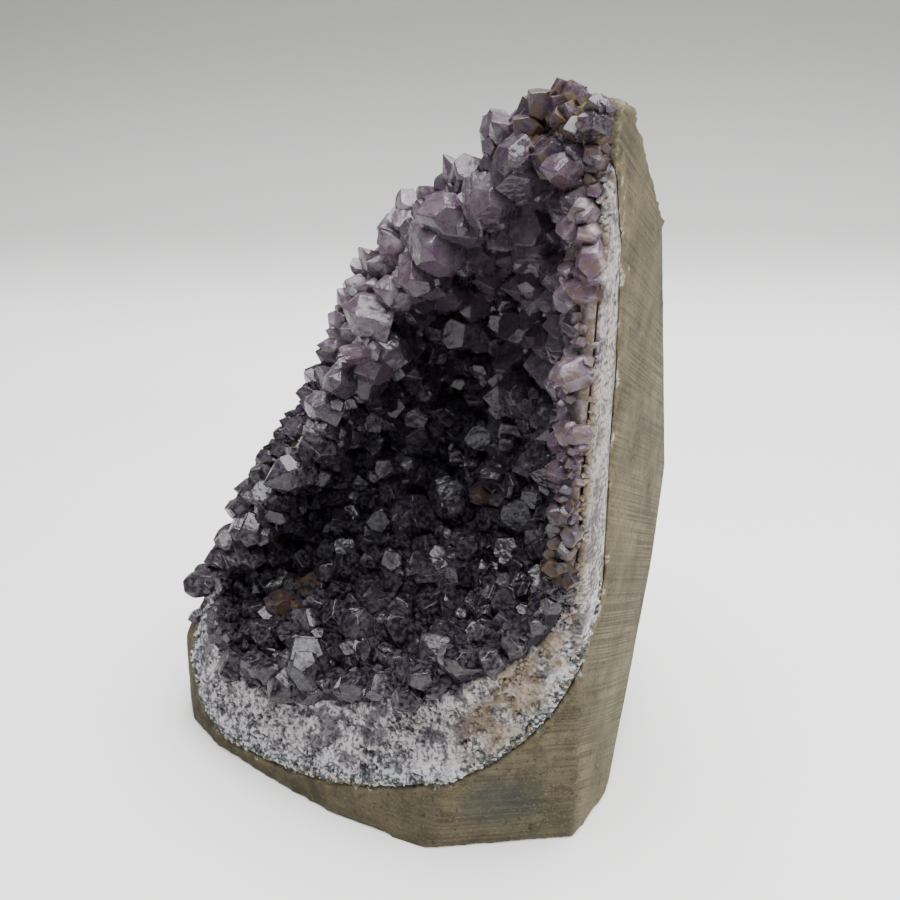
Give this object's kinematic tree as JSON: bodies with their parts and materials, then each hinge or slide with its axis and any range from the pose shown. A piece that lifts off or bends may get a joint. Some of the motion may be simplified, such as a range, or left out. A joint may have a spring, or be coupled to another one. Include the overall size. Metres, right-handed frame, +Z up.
{
  "type": "amethyst geode",
  "caption": "Cut-base amethyst geode: a sawn basalt wall lined with a quartz band and a druse of six-sided purple crystals; stands on its flat base.",
  "frame": {"origin": "on the sawn base, near the middle of its outline", "axes": "+Z up, the long way; -Y the front, where the lip is; +X the sawn right face"},
  "size_m": [0.1, 0.0825, 0.147],
  "materials": {
    "basalt": "sawn and ground, matt",
    "quartz": "granular, broken",
    "amethyst": "crystal faces, glossy with frosted tips",
    "pale_amethyst": "crystal faces, glossy and paler at the rim"
  },
  "bodies": {
    "root": {"amethyst_crystal_01": "amethyst", "amethyst_crystal_02": "amethyst", "amethyst_crystal_03": "amethyst", "amethyst_crystal_04": "amethyst", "amethyst_crystal_05": "amethyst", "amethyst_crystal_06": "amethyst", "amethyst_crystal_07": "amethyst", "amethyst_crystal_08": "amethyst", "amethyst_crystal_09": "amethyst", "amethyst_crystal_10": "amethyst", "amethyst_crystal_11": "amethyst", "amethyst_crystal_12": "amethyst", "amethyst_crystal_13": "amethyst", "amethyst_crystal_14": "amethyst", "amethyst_crystal_15": "amethyst", "amethyst_crystal_16": "amethyst", "amethyst_crystal_17": "amethyst", "amethyst_crystal_18": "amethyst", "amethyst_crystal_19": "amethyst", "amethyst_crystal_20": "amethyst", "amethyst_crystal_21": "amethyst", "amethyst_druse": "amethyst", "basalt_matrix": "basalt", "quartz_band": "quartz", "rim_crystal_01": "pale_amethyst", "rim_crystal_02": "pale_amethyst", "rim_crystal_03": "pale_amethyst", "rim_crystal_04": "pale_amethyst", "rim_crystal_05": "pale_amethyst", "rim_crystal_06": "pale_amethyst", "rim_crystal_07": "pale_amethyst", "rim_crystal_08": "pale_amethyst", "rim_crystal_09": "pale_amethyst", "rim_crystal_10": "pale_amethyst", "rim_crystal_11": "pale_amethyst", "rim_crystal_12": "pale_amethyst", "rim_crystal_13": "pale_amethyst", "rim_crystal_14": "pale_amethyst"}
  },
  "joints": []
}
